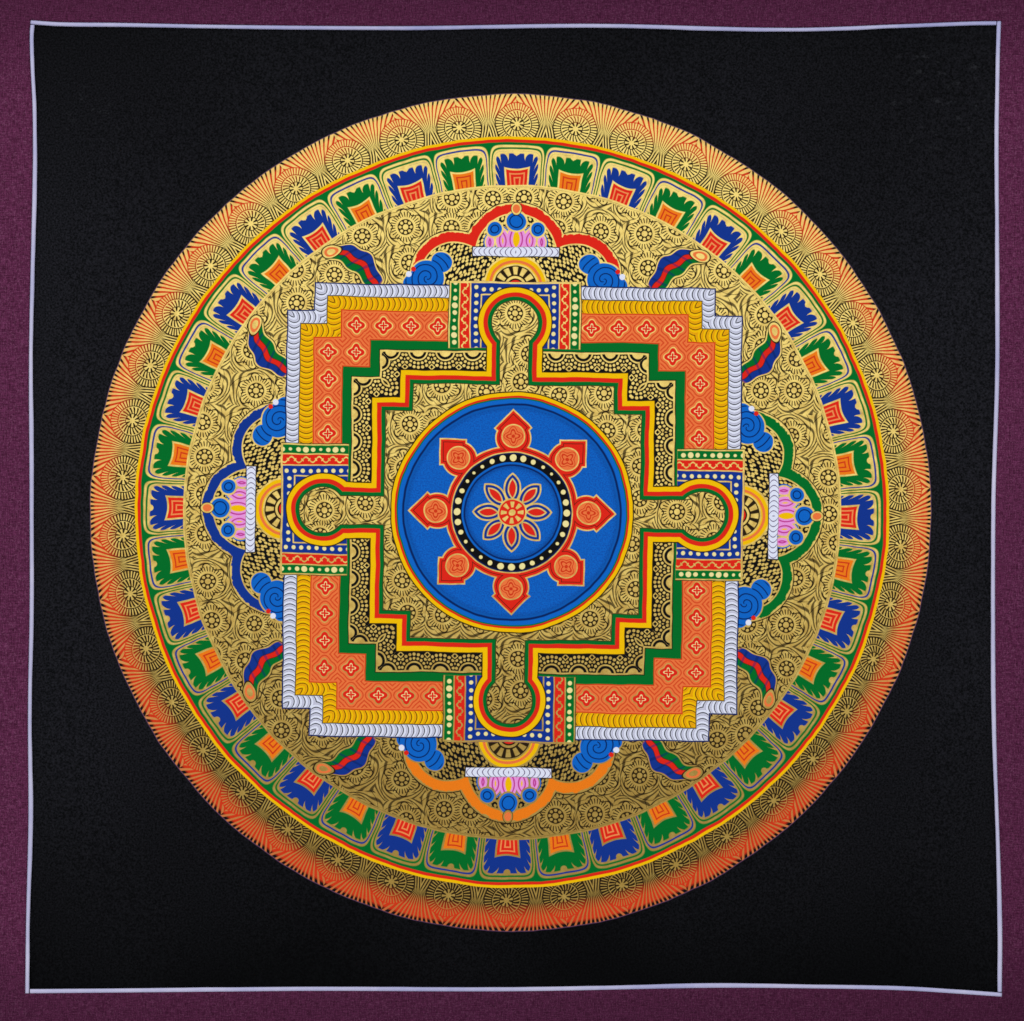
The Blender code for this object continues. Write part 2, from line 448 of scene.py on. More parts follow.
SHELL_LINE = 200.2         # the rings that the shells' and the fans' middles lie on
FAN_LINE = 196.0
PETAL_TALL = 22.2
GATE_IN = 84.5             # where a gate's posts start, out from the middle
GATE_OUT = WALL + 2.5
GATE_HALF = 34.2
RED_POST = 28.1            # half widths of what stands inside the green posts
BLUE_POST = 22.5
PETAL_RING = 34.0          # the ring that the eight petals stand on
WELL_BEADS = 28.2          # the ring of beads
LOTUS_WATER = 25.9         # the water round the small lotus

# How far the ribbons, arches and gates reach, towards their gate and from its middle line
RIBBONS_FAR, RIBBONS_NEAR = (112, 145), (57, 100)
ARCHES_FAR, ARCHES_NEAR = 162, 60
GATES_FAR, GATES_NEAR = (84, 120), 34.5

# The walls' bands, by how far inside the palace's outline they start and end
WHITE_ROPE = (0.0, 6.0)
YELLOW_ROPE = (6.5, 13.1)
ORANGE_BAND = (13.7, 27.9)
MEDALLION_LINE = 20.9
GREEN_BAND = (28.4, 32.9)
BLACK_BAND = (33.5, 45.0)
HALF_ROUND_LINE = 39.0


class Picture:
    """The painting as it is built up, one coat over another."""

    def __init__(self, tree, place, ground):
        self.tree = tree
        centred = tree.nodes.new("ShaderNodeMapping")
        centred.vector_type = "TEXTURE"
        centred.inputs["Location"].default_value = PICTURE_MIDDLE
        centred.inputs["Rotation"].default_value = (0.0, PICTURE_TURN, 0.0)
        centred.inputs["Scale"].default_value = PICTURE_SCALE
        tree.links.new(place, centred.inputs["Vector"])
        straight = centred.outputs["Vector"]
        # no hand draws a perfect line, so the lines wander by a few tenths of a millimetre
        _, sway = speckle(tree, straight, 0.045, 1.0)
        _, tremble = speckle(tree, straight, 0.20, 0.0)
        x, _, z = parted(tree, straight)
        inner = reach(x, z).below(SHIFT_EDGE, SHIFT_SOFT)
        x, z = x - inner * INNER_SHIFT[0], z - inner * INNER_SHIFT[1]
        sway_x, sway_z, _ = parted(tree, sway)
        tremble_x, tremble_z, _ = parted(tree, tremble)
        self.x = x + sway_x.scaled(SWAY, -SWAY / 2) + tremble_x.scaled(TREMBLE, -TREMBLE / 2)
        self.z = z + sway_z.scaled(SWAY, -SWAY / 2) + tremble_z.scaled(TREMBLE, -TREMBLE / 2)
        self.out = reach(self.x, self.z)
        self.turn = bearing(self.x, self.z)
        beside, above = abs(self.x), abs(self.z)
        self.far = beside.most(above)      # distance towards the nearest gate
        self.near = beside.least(above)    # distance to that gate's middle line
        self.patches, _ = speckle(tree, straight, 0.22, 3.0, 0.62)
        # the gold is mottled at random, with painted light and shade on it: lighter towards the top and
        # duller towards the bottom
        gold = mixed(tree, (self.patches + z * 0.0011).above(0.5, 0.42), GOLD_SHADE, GOLD_LIGHT)
        self.gold = mixed(tree, z.below(-70.0, 140.0) * 0.6, gold, GOLD_PAINTED_SHADE)
        self.colour = ground
        self.gilt = None

    def paint(self, where, colour):
        self.colour = mixed(self.tree, where, self.colour, colour)
        if self.gilt is not None:
            self.gilt = self.gilt * (1.0 - where)

    def gild(self, where):
        self.colour = mixed(self.tree, where, self.colour, self.gold)
        self.gilt = where if self.gilt is None else self.gilt.most(where)

    def sides(self):
        """Shares of the top, right and bottom quarter. The rest is the left."""
        upright = (abs(self.z) - abs(self.x)).above(0.0, 0.5)
        top = upright * self.z.above(0.0, 0.5)
        right = (1.0 - upright) * self.x.above(0.0, 0.5)
        bottom = upright * self.z.below(0.0, 0.5)
        return top, right, bottom


def paint_rays(picture):
    """The outermost ring: shells of turning strokes with fans between them, gold inside and
    reddening outwards."""
    out, tree = picture.out, picture.tree
    half = math.pi / SHELLS
    ring = out.below(DISC, 0.5)
    picture.gild(ring)
    # painted shade: the strokes grow heavier and the amber darker and redder towards the bottom, where less
    # light falls
    bottom_shade = picture.z * -0.0018
    shaded_amber = mixed(tree, bottom_shade.above(0.19, 0.38), AMBER, AMBER_SHADED)
    picture.paint(out.above(208.0, 13.0) * ring * (bottom_shade + 0.62), shaded_amber)
    ink = mixed(tree, out.above(205.5, 6.5), STROKE, BRUSH_RED)
    ink = mixed(tree, out.above(DISC - 2.0, 1.4), ink, BLACK)

    fan_x = (picture.turn + half).wrap(half) * out
    fan_z = out - FAN_LINE
    fans = ((bearing(fan_x, fan_z) * 54.0).sine() + bottom_shade).above(0.04, 0.7)
    fans = fans * reach(fan_x, fan_z).above(4.6, 4.0)
    shell_x = picture.turn.wrap(half) * out
    shell_z = out - SHELL_LINE
    size, angle = reach(shell_x * 0.95, shell_z), bearing(shell_x, shell_z)
    border = ((angle * 44.0).sine() + bottom_shade).above(-0.05, 0.7)
    feet = (abs(fan_x) * 4.4 + out * 1.1).sine().above(0.0, 0.9) * out.below(200.6, 3.0)
    fans = fans.most(feet)
    strokes = fans + (border - fans) * size.below(10.6)
    strokes = strokes * size.above(7.4) + size.line(10.8, 0.26) * 0.8
    wheel = ((angle * 22.0 + size * 1.1).sine() + bottom_shade).above(-0.05, 0.7) * size.inside(3.6, 6.6)
    hub = (angle * 8.0).sine().above(0.1, 0.8) * size.inside(1.3, 3.2)
    rims = size.line(7.2, 0.24) + size.line(3.4, 0.20)
    picture.paint((strokes + wheel + hub + rims).least(1.0) * ring, ink)
    picture.paint(out.line(DISC + 0.1, 0.25) * 0.6, MAUVE)


def paint_petals(picture):
    """Broad lotus petals, blue and green by turns, inside three thin rings."""
    out, tree = picture.out, picture.tree
    half = math.pi / PETALS
    picture.paint(out.below(RAYS_IN - 0.3), YELLOW)
    picture.paint(out.below(RAYS_IN - 1.7), RED)
    picture.paint(out.below(PETALS_OUT + 0.4), GREEN)
    turns = (picture.turn * float(PETALS // 2)).cosine().above(0.0, 0.2)
    angle = abs(picture.turn.wrap(half))
    x, z = angle * out, out - PETALS_IN
    # a petal's outline is a square with round shoulders
    broad, tall = angle * (1 / half), z.most(0.0) * (1 / PETAL_TALL)
    broad, tall = broad * broad, tall * tall
    broad, tall = broad * broad, tall * tall
    petal = (broad * broad + tall * tall).do("POWER", 1 / 8).scaled(14.3, -14.0)
    picture.gild(petal.below(0.0))
    picture.paint(petal.below(-0.75), mixed(tree, turns, PETAL_BLUE, GREEN))
    picture.gild(petal.below(-1.35))
    body = petal.below(-2.0)
    picture.paint(body, mixed(tree, turns, GREEN, PETAL_BLUE))
    # hooked flames curl inwards from the outline, with round bays between them
    depth = -2.0 - petal
    hook = ((x - z) * 0.205 - depth * depth * 0.060 + 0.05).wrap(0.5)
    hook = hook * hook
    # painted shade: the gold flames shrink towards the bottom, so that the petals darken there
    flames = (hook * hook * 38.0 + picture.z.scaled(0.003, 0.2) - depth).above(0.0, 0.4) * body
    picture.gild(flames)
    picture.gild(reach(x, z - 18.0).below(1.6))
    heart = (x - z * 0.07 - 5.5).most(z - x * x * 0.03 - 9.2)
    picture.gild(heart.below(0.2))
    picture.paint(heart.below(-0.7), mixed(tree, turns, TANGERINE, RED))
    picture.paint(heart.inside(-2.8, -2.1), mixed(tree, turns, BRUSH_RED, AMBER))
    picture.paint(heart.inside(-4.8, -4.1), mixed(tree, turns, BRUSH_RED, AMBER))
    picture.gild(out.line(PETALS_IN + 0.4, 0.7))
    picture.paint(out.line(PETALS_IN - 0.2, 0.3), STROKE)


def paint_flowers(picture, where):
    """Gold ground, drawn all over with flowers and curling leaves."""
    tree = picture.tree
    picture.gild(where)
    cells = tree.nodes.new("ShaderNodeTexVoronoi")
    cells.voronoi_dimensions = "2D"
    cells.feature = "F1"
    cells.inputs["Scale"].default_value = 1.0
    cells.inputs["Randomness"].default_value = 0.42
    spread = 20.0
    x_cell, z_cell = picture.x * (1 / spread), picture.z * (1 / spread)
    tree.links.new(joined(x_cell, z_cell), cells.inputs["Vector"])
    centre_x, centre_z, _ = parted(tree, cells.outputs["Position"])
    x, z = (x_cell - centre_x) * spread, (z_cell - centre_z) * spread
    size, angle = reach(x, z), bearing(x, z)
    # a flower: a dark eye ringed by beads, then six turning petals
    petals = (angle * 6.0 + size * 0.25).sine()
    veins = (angle * 30.0 + size * 0.5).sine().above(0.40, 0.7) * size.inside(5.4, 8.0)
    rim = (size - petals * 1.3).line(8.2, 0.32)
    leaves = (angle * 3.0 + size * 0.55).sine()
    hatch = (size * 3.1 + leaves * 3.2).sine().above(0.28, 0.8) * size.above(9.0)
    stems = abs(leaves).below(0.07, 0.10) * size.above(9.0, 0.8)
    eye = size.inside(1.5, 4.2)
    picture.paint((veins + rim + hatch * 0.85 + stems + eye).least(1.0) * where, STROKE)
    beads = reach(angle.wrap(math.pi / 8) * 2.9, size - 2.9)
    picture.gild(beads.below(0.80) * where)


def paint_field(picture):
    """The round field between the petals and the palace."""
    picture.gild(picture.out.below(PETALS_IN))
    paint_flowers(picture, picture.out.below(PETALS_IN - 0.5))


def paint_ribbons(picture):
    """Eight striped ribbons blow across the field, two to a quarter, each from a gold knot."""
    x, z = picture.near - 80.0, picture.far - 128.0
    lean = math.radians(38)
    along = x * math.cos(lean) + z * math.sin(lean)
    over = z * math.cos(lean) - x * math.sin(lean) + along * along * 0.020 + (along * 0.55).sine() * 0.7
    length = along.inside(-15.0, 15.0, 1.0)
    body = abs(over) + abs(along) * 0.16 - 6.6
    picture.paint(body.below(0.8) * length, STROKE)
    picture.gild(body.below(0.3) * length)
    picture.paint(body.below(-0.5) * length, GREEN)
    picture.paint(over.above(-1.9) * body.below(-0.5) * length, RED)
    picture.paint(over.above(1.2) * body.below(-0.5) * length, PETAL_BLUE)
    picture.paint((over.line(-1.9, 0.2) + over.line(1.2, 0.2)) * body.below(-0.5) * length, STROKE)
    folds = (along * 1.1 + over * 0.5).sine().above(0.75, 0.3) * body.below(-0.9) * length
    picture.paint(folds * 0.55, DEEP_BLUE)
    knot = reach(along - 15.0, over) - 4.2
    picture.paint(knot.below(0.3), STROKE)
    picture.gild(knot.below(-0.3))
    picture.paint(knot.inside(-2.4, -1.2), ORANGE)


def paint_arches(picture):
    """Outside each gate stands a trefoil arch with a beaded ground, a half round and a lotus."""
    tree = picture.tree
    m, h = picture.near, picture.far - WALL
    top, right, bottom = picture.sides()
    side = mixed(tree, top, PETAL_BLUE, RED)
    side = mixed(tree, right, side, GREEN)
    side = mixed(tree, bottom, side, TANGERINE)
    flicker = picture.patches.scaled(4.0, -2.0)
    arch = (reach(m, h - 16.6) - 26.8).least(reach(m - 31.0, h - 5.0) - 23.5)
    outside = h.above(-1.0)
    picture.paint(arch.below(0.5) * outside, STROKE)
    picture.gild(arch.below(0.0) * outside)
    picture.paint((arch + flicker).below(-0.8) * outside, side)
    picture.gild(arch.below(-5.6) * outside)
    inner = arch.below(-6.3) * outside
    picture.paint(inner, BLACK)
    bead_x, bead_z = m + h * 0.2, h + m * m * 0.006
    beads = tree.nodes.new("ShaderNodeTexVoronoi")
    beads.voronoi_dimensions = "2D"
    beads.inputs["Scale"].default_value = 1.0
    beads.inputs["Randomness"].default_value = 0.50
    tree.links.new(joined(bead_x * 0.52, bead_z * 0.44), beads.inputs["Vector"])
    picture.gild(Reading(tree, beads.outputs["Distance"]).below(0.37, 0.14) * inner)

    # a curl of blue cloud at each foot
    cloud_x, cloud_z = m - 45.5, h - 4.0
    curl_size = reach(cloud_x, cloud_z)
    cloud = (curl_size - 9.4).least(reach(m - 38.0, h - 12.0) - 6.0).least(reach(m - 53.5, h - 1.0) - 5.0)
    picture.gild(cloud.below(0.0) * outside)
    picture.paint(cloud.below(-0.7) * outside, BRIGHT_BLUE)
    curl = (curl_size - bearing(cloud_x, cloud_z) * 0.8).wrap(1.6)
    picture.paint(curl.line(0.0, 0.30) * cloud.below(-1.4) * outside, DEEP_BLUE)
    tip = reach(m - 55.0, h - 5.6)
    picture.paint(tip.below(1.5), WHITE)
    picture.paint(reach(m - 52.6, h - 8.2).below(1.2), RED)

    # the half round over the gate
    span, turn = reach(m, h), bearing(m, h)
    picture.gild(span.below(16.4) * outside)
    picture.paint(span.below(15.6) * outside, YELLOW)
    picture.paint(span.inside(12.4, 13.8) * outside, ORANGE)
    picture.gild(span.below(11.8) * outside)
    picture.paint(span.below(11.0) * outside, STROKE)
    picture.gild((turn * 13.0).cosine().above(-0.2, 0.6) * span.inside(6.4, 10.4) * outside)
    picture.gild(span.inside(4.4, 5.6) * outside)
    picture.paint(span.below(3.6) * outside, RED)
    picture.gild(span.below(1.8) * outside)

    # a white ruff, and the lotus that stands on it
    ruff = m.below(22.0) * h.inside(15.6, 20.2)
    picture.paint(m.below(22.6) * h.inside(15.1, 20.7), STROKE)
    picture.paint(ruff, WHITE)
    pleat = (m + (h - 17.9) * (h - 17.9) * 0.35).wrap(1.35)
    picture.paint(ruff * pleat.line(0.0, 0.22), MAUVE)
    stand = h.above(20.4)
    seat = (reach(m + 5.5, h - 24.4) - 10.8).least(reach(abs(m - 6.8) + 4.0, h - 23.6) - 8.0)
    seat = seat.least(reach(abs(m - 13.2) + 3.0, h - 22.8) - 5.8)
    picture.paint(seat.below(0.6) * stand, BRIGHT_BLUE)
    picture.gild(seat.below(0.0) * stand)
    picture.paint(seat.below(-0.7) * stand, PINK)
    picture.paint(abs(seat + 2.3).below(0.35) * stand, ROSE)
    picture.paint(seat.below(-3.6) * stand, YELLOW)

    # jewels over the lotus
    jewel = (reach(m, h - 33.6) - 5.8).least(reach(m - 11.0, h - 29.6) - 4.6)
    picture.gild(jewel.below(0.0))
    picture.paint(jewel.below(-0.9), BRIGHT_BLUE)
    picture.paint(jewel.inside(-2.9, -2.3), DEEP_BLUE)
    crown = reach(m * 1.3, h - 40.2) - 3.2
    picture.paint(crown.below(0.4), STROKE)
    picture.gild(crown.below(0.0))
    picture.paint(crown.below(-0.9), ORANGE)


def paint_rope(picture, run, depth, band, colour, shade, ink):
    """A band of twisted rope, drawn as one curved strand after another."""
    start, end = band
    middle, half = (start + end) / 2, (end - start) / 2
    along = run - (WALL_CORNER - middle)
    picture.paint(depth.above(start), colour)
    bulge = (depth - middle) * (1 / half)
    twist = (along - bulge * bulge * 1.3).wrap(PITCH / 10)
    picture.paint(twist.above(0.45, 1.2) * depth.inside(start, end) * 0.36, shade)
    picture.paint(twist.line(0.0, 0.26) * depth.inside(start + 0.1, end - 0.1), ink)


def paint_walls(picture):
    """The palace walls: a stepped square of rope, orange, green and black bands."""
    out_side, out_corner = picture.far - WALL, picture.near - WALL_CORNER
    depth = -(out_side.most(out_corner))
    along_near = (out_side - out_corner).above(0.0, 0.2)
    run = picture.far + (picture.near - picture.far) * along_near
    picture.paint(depth.above(-0.7), DEEP_BLUE)
    paint_rope(picture, run, depth, WHITE_ROPE, WHITE, MAUVE, BLACK)
    picture.paint(depth.above(WHITE_ROPE[1]), STROKE)
    paint_rope(picture, run, depth, YELLOW_ROPE, YELLOW, BRUSH_RED, BROWN)
    picture.paint(depth.above(YELLOW_ROPE[1]), BRUSH_RED)
    picture.paint(depth.above(ORANGE_BAND[0]), ORANGE)
    # red medallions along the orange band, on a ground of fine lines that follow it
    x, z = (run - (WALL_CORNER - MEDALLION_LINE)).wrap(PITCH / 2), depth - MEDALLION_LINE
    size, angle = reach(x, z), bearing(x, z)
    band = depth.inside(ORANGE_BAND[0] + 0.7, ORANGE_BAND[1] - 0.5)
    lobed = size - (angle * 4.0).cosine() * 0.7
    lines = (lobed * 3.6).sine().above(0.3, 0.8) * lobed.above(4.4) * band
    picture.paint(lines * 0.75, BRUSH_RED)
    picture.gild(lobed.below(4.3) * band)
    picture.paint(lobed.below(3.7) * band, RED)
    picture.paint(lobed.inside(1.3, 1.9) * band, CREAM)
    picture.paint(depth.above(ORANGE_BAND[1]), BRUSH_RED)
    picture.paint(depth.above(GREEN_BAND[0]), GREEN)
    picture.paint(depth.above(GREEN_BAND[1]), BLACK)
    # gold half rounds on black hang from the band's outer edge, with beads around and lozenges between
    x, z = (run - (WALL_CORNER - HALF_ROUND_LINE)).wrap(PITCH / 2), depth - 33.6
    size, turn = reach(x, z), bearing(x, z)
    band = depth.inside(*BLACK_BAND)
    picture.gild((size.below(2.9) + size.inside(4.3, 5.1)) * band)
    beads = reach(turn.wrap(math.pi / 20) * 6.5, size - 6.5) - 0.72
    beads = beads.least(reach(turn.wrap(math.pi / 24) * 8.6, size - 8.6) - 0.80)
    lozenge = abs(abs(x) - PITCH / 2) + abs(z - 8.4)
    beads = beads.most(2.6 - lozenge).most(1.2 - z)
    picture.gild((beads.below(0.0) + lozenge.inside(1.0, 1.8)).least(1.0) * band)
    picture.gild(depth.line(33.8, 0.45) + depth.line(44.6, 0.4))


def paint_gates(picture):
    """Each gate breaks through the bands between two beaded green posts."""
    m, far = picture.near, picture.far
    span = far.inside(GATE_IN, GATE_OUT)
    picture.paint(m.below(GATE_HALF) * span, STROKE)
    picture.gild(m.below(33.8) * span)
    picture.paint(m.below(33.1) * span, GREEN)
    large = (far * (math.pi / 7.6)).cosine() * 0.35
    beads = reach(m - 30.8, far.wrap(1.9)) - large
    picture.paint(beads.below(1.15) * m.inside(28.6, 33.0) * span, CREAM)
    picture.gild(m.line(28.4, 0.35) * span)
    picture.paint(m.below(RED_POST) * span, RED)
    curl = (m - 25.6) - (far * 0.9).sine() * 1.4
    picture.gild(curl.line(0.0, 0.40) * m.inside(23.2, 28.0) * span)
    dots = reach(m - 25.6 + (far * 0.9).sine() * 0.9, far.wrap(math.pi / 1.8))
    picture.gild(dots.below(0.6) * span)
    picture.gild(m.line(22.8, 0.35) * span)
    picture.paint(m.below(BLUE_POST) * span, PETAL_BLUE)
    lintel = reach(m.wrap(2.0), far - (WALL - 1.6)) + m.above(19.0) * 3.0
    trim = reach(m - 19.9, far.wrap(2.0)).least(lintel)
    picture.paint(trim.below(1.05) * m.below(22.2) * span * far.below(WALL + 0.6), CREAM)
    picture.gild(m.line(17.4, 0.35) * span * far.below(WALL - 4.0))
    picture.gild(far.line(WALL - 4.2, 0.35) * m.below(17.6))
    picture.gild(far.line(WALL + 2.0, 0.45) * m.below(33.8))


def paint_court(picture):
    """The court inside the walls and its keyhole niches, outlined in yellow, red and green."""
    m, far = picture.near, picture.far
    court = (far - COURT).most(m - COURT_CORNER)
    stem = (m - NICHE_HALF).most(far - NICHE_END)
    head = reach(m, far - NICHE_HEAD) - NICHE_ROUND
    outline = court.least(stem).least(head)
    picture.paint(outline.below(7.2), STROKE)
    picture.paint(outline.below(6.6), YELLOW)
    picture.paint(outline.below(4.1), RED)
    picture.paint(outline.below(1.9), GREEN)
    picture.paint(outline.below(0.1), STROKE)
    paint_flowers(picture, outline.below(-0.3))


def paint_well(picture):
    """The round at the centre: blue water, eight red petals, a ring of beads and a small lotus."""
    out, tree = picture.out, picture.tree
    picture.paint(out.below(WELL + 0.6), STROKE)
    picture.paint(out.below(WELL), YELLOW)
    picture.paint(out.below(WELL - 1.8), RED)
    picture.paint(out.below(WELL - 2.8), GREEN)
    picture.paint(out.below(WELL - 3.5), BRIGHT_BLUE)
    spots, _ = speckle(tree, joined(picture.x, picture.z), 1.3, 1.0)
    picture.paint(spots.above(0.52, 0.25) * out.below(54.0) * 0.45, PETAL_BLUE)
    picture.paint(out.line(54.2, 0.4, 4.0) * 0.55, DEEP_BLUE)
    picture.paint(out.line(55.7, 0.55, 0.5), DEEP_BLUE)

    turn = picture.turn.wrap(math.pi / 8)
    x, z = turn.sine() * out, turn.cosine() * out
    petal = (out - PETAL_RING).least(reach(x, z - 38.4) - 8.6)
    petal = petal.least((abs(x) + abs(z - 43.4) - 9.0) * 0.707)
    picture.gild(petal.below(0.7))
    picture.paint(petal.below(0.0), RED)
    picture.paint(petal.line(-1.3, 0.16), STROKE)
    medal, medal_turn = reach(x, z - 39.4), bearing(x, z - 39.4)
    picture.gild(medal.below(6.1))
    picture.paint(medal.below(5.5), ORANGE)
    lobes = medal - (medal_turn * 4.0).cosine() * 0.8
    picture.paint((lobes.line(4.0, 0.22) + lobes.inside(2.0, 2.9) + medal.below(0.9)).least(1.0), BRUSH_RED)

    picture.gild(out.below(31.4))
    picture.paint(out.below(30.8), DEEP_BLUE)
    picture.paint(out.inside(25.6, 30.2, 0.8), BLACK)
    bead = reach(picture.turn.wrap(math.pi / 32) * WELL_BEADS, out - WELL_BEADS)
    large = (picture.turn * 4.0).cosine()
    picture.paint((bead - large * 0.5).below(1.25), CREAM)
    picture.paint(out.below(LOTUS_WATER), BRIGHT_BLUE)
    picture.paint(spots.above(0.52, 0.25) * out.below(25.0) * 0.45, PETAL_BLUE)
    picture.paint(out.line(23.4, 0.4, 2.8) * 0.55, DEEP_BLUE)
    picture.paint(out.line(24.4, 0.45, 0.5), DEEP_BLUE)
    # a small lotus
    lotus = reach(abs(x) + 5.0, z - 12.4) - 9.6
    picture.gild(lotus.below(0.0))
    picture.paint(lotus.below(-0.8), PETAL_BLUE)
    picture.gild(lotus.line(-2.5, 0.35))
    picture.paint(lotus.below(-2.9), RED)
    picture.gild(out.below(7.4))
    picture.paint(out.below(6.7), RED)
    picture.gild((picture.turn * 8.0).cosine().above(0.0, 0.6) * out.inside(2.8, 5.8))
    picture.gild(out.below(1.7))


def wall_depth(far, near):
    """How far inside the palace's outline a place is, far towards a gate and near its middle line."""
    return -max(far - WALL, near - WALL_CORNER)


def court_reach(far, near):
    """How far outside the court's outline a place is."""
    court = max(far - COURT, near - COURT_CORNER)
    stem = max(near - NICHE_HALF, far - NICHE_END)
    return min(court, stem, math.hypot(near, far - NICHE_HEAD) - NICHE_ROUND)


def parts_near(x, z):
    """The parts of the picture that may show within a cell's reach of a point."""
    slack = 4.0
    out = math.hypot(x, z)
    far, near = max(abs(x), abs(z)), min(abs(x), abs(z))
    wall, court = wall_depth(far, near), court_reach(far, near)
    by_ribbon = RIBBONS_NEAR[0] - slack < near < RIBBONS_NEAR[1] + slack
    by_ribbon = by_ribbon and RIBBONS_FAR[0] - slack < far < RIBBONS_FAR[1] + slack
    by_arch = near < ARCHES_NEAR + slack and WALL - slack < far < ARCHES_FAR + slack
    by_gate = near < GATES_NEAR + slack and GATES_FAR[0] - slack < far < GATES_FAR[1] + slack
    behind_gate = near < 33 - slack < 97 < far
    shows = (
        (paint_rays, RAYS_IN - slack < out < DISC + slack),
        (paint_petals, PETALS_IN - 1 - slack < out < RAYS_IN + slack),
        (paint_field, out < PETALS_IN + slack and wall < slack),
        (paint_ribbons, by_ribbon and wall < slack),
        (paint_arches, by_arch),
        (paint_walls, -1 - slack < wall and court > 4 - slack and not behind_gate),
        (paint_gates, by_gate and court > 4 - slack),
        (paint_court, court < 7.2 + slack and out > 56 - slack),
        (paint_well, out < WELL + 1 + slack),
    )
    return {paint for paint, shown in shows if shown}


# The sets of parts that the canvas's finishes paint, each back to front, from few to many
FINISHES = (
    (),
    (paint_rays,),
    (paint_petals,),
    (paint_rays, paint_petals),
    (paint_walls,),
    (paint_well,),
    (paint_field, paint_ribbons),
    (paint_petals, paint_field, paint_ribbons),
    (paint_walls, paint_court),
    (paint_court, paint_well),
    (paint_walls, paint_gates, paint_court),
    (paint_field, paint_ribbons, paint_arches),
    (paint_petals, paint_field, paint_ribbons, paint_arches),
    (paint_field, paint_ribbons, paint_arches, paint_walls, paint_gates, paint_court),
)


def black_ground(tree, place):
    """Black cotton with a fine grain, a paler bloom and a few faint rubs, with painted shade that darkens
    it towards the window's top and bottom.
    """
    grain, _ = speckle(tree, place, 1000.0, 1.0, 0.7)
    bloom, _ = speckle(tree, place, 7.0, 1.0, 0.6)
    x, _, z = parted(tree, place)
    # from -1 at the window's bottom to 1 at its top
    height = z.scaled(4.0, 1.406)
    # painted shade: paler at mid height and darker towards the top and bottom, with the bloom's random tone
    # on top
    pale = height * 0.22 - height * height * 0.80 + bloom.scaled(0.8, 0.58)
    dark = mixed(tree, pale, pigment(1, 1, 2), pigment(5, 6, 8))
    light = mixed(tree, pale, pigment(7, 8, 10), pigment(33, 33, 39))
    colour = mixed(tree, grain.above(0.53, 0.42), dark, light)
    rubs, _ = speckle(tree, stretched(tree, place, (150.0, 0.0, 210.0)), 1.0, 3.0, 0.75)
    rubbed = reach(x - 0.222, z + 0.137).below(0.030, 0.02) + reach(x + 0.218, z + 0.148).below(0.014, 0.01)
    return mixed(tree, rubs.above(0.64, 0.12) * rubbed * 0.12, colour, pigment(92, 94, 100))


def painted_cotton(parts):
    """The front of the canvas: black cotton with these parts of the picture painted on it."""
    name = " ".join(["painted cotton"] + [paint.__name__.replace("paint_", "") for paint in parts])
    finish, tree, shader, place = new_finish(name, 0.80, 0.05)
    threads = weave(tree, place, CANVAS_THREAD)
    covered = parts and (paint_petals in parts or paint_rays not in parts)
    ground = BLACK if covered else black_ground(tree, place)
    raise_threads(tree, shader, threads, 0.00012, 0.6)
    if not parts:
        tree.links.new(ground, shader.inputs["Base Color"])
        return finish
    picture = Picture(tree, place, ground)
    for paint in parts:
        paint(picture)
    tree.links.new(picture.colour, shader.inputs["Base Color"])
    plug(tree, picture.gilt.scaled(0.12, 0.0), shader.inputs["Metallic"])
    plug(tree, picture.gilt.scaled(-0.25, 0.80), shader.inputs["Roughness"])
    return finish


def lay_out_picture(canvas):
    """Gives each cell of the canvas front the finish that paints just the parts that show there."""
    mesh = canvas.data
    cosine, sine = math.cos(PICTURE_TURN), math.sin(PICTURE_TURN)
    cells = {}
    for face in mesh.polygons:
        if face.material_index == 0:
            x = (face.center.x - PICTURE_MIDDLE[0]) / PICTURE_SCALE[0]
            z = (face.center.z - PICTURE_MIDDLE[2]) / PICTURE_SCALE[2]
            x, z = x * cosine - z * sine, x * sine + z * cosine
            inner = clamp((SHIFT_EDGE + SHIFT_SOFT / 2 - math.hypot(x, z)) / SHIFT_SOFT, 0, 1)
            parts = parts_near(x - inner * INNER_SHIFT[0], z - inner * INNER_SHIFT[1])
            finish = next(finish for finish in FINISHES if parts <= set(finish))
            cells.setdefault(finish, []).append(face.index)
    mesh.materials.clear()
    mesh.materials.append(canvas_back())
    for face in mesh.polygons:
        face.material_index = 0
    for finish in FINISHES:
        if finish in cells:
            mesh.materials.append(painted_cotton(finish))
            for face in cells[finish]:
                mesh.polygons[face].material_index = len(mesh.materials) - 1


def canvas_back():
    finish, tree, shader, place = new_finish("unpainted canvas back", 0.9, 0.15)
    threads = weave(tree, place, CANVAS_THREAD)
    lying, upright = slubs(tree, place, *CANVAS_SLUB)
    share = lying * 0.5 + upright * 0.5
    colour = mixed(tree, share.above(0.5, 0.3), pigment(22, 22, 25), pigment(40, 40, 44))
    tree.links.new(colour, shader.inputs["Base Color"])
    raise_threads(tree, shader, threads, 0.00025, 0.7)
    return finish


def mount_cotton():
    """Plum cotton: a plain weave with slubs, with painted shade that makes it a little darker towards the
    top and the bottom and in the lower right corner.
    """
    finish, tree, shader, place = new_finish("plum mount cotton", 0.90, 0.06)
    threads = weave(tree, place, MOUNT_THREAD)
    lying, upright = slubs(tree, place, *MOUNT_SLUB)
    share = lying * 0.5 + upright * 0.5
    colour = mixed(tree, share.above(0.5, 0.24), pigment(64, 22, 46), pigment(104, 46, 82))
    flecks, _ = speckle(tree, place, 1300.0, 1.0, 0.7)
    colour = mixed(tree, flecks.above(0.62, 0.14) * 0.35, colour, pigment(140, 88, 120))
    colour = mixed(tree, flecks.below(0.38, 0.14) * 0.35, colour, pigment(44, 12, 32))
    x, _, z = parted(tree, place)
    # painted shade: darker above and below the window
    shaded_ends = abs(z - WINDOW_CENTRE_Z).above(0.235, 0.05) * 0.40
    colour = mixed(tree, shaded_ends, colour, pigment(40, 12, 32))
    # painted shade: darker towards the lower right corner, away from the key light
    corner = (x - z).above(0.80, 0.5) * 0.45
    colour = mixed(tree, corner, colour, pigment(36, 8, 26))
    tree.links.new(colour, shader.inputs["Base Color"])
    raise_threads(tree, shader, threads * 0.6 + share * 0.8, 0.00030, 0.7)
    return finish


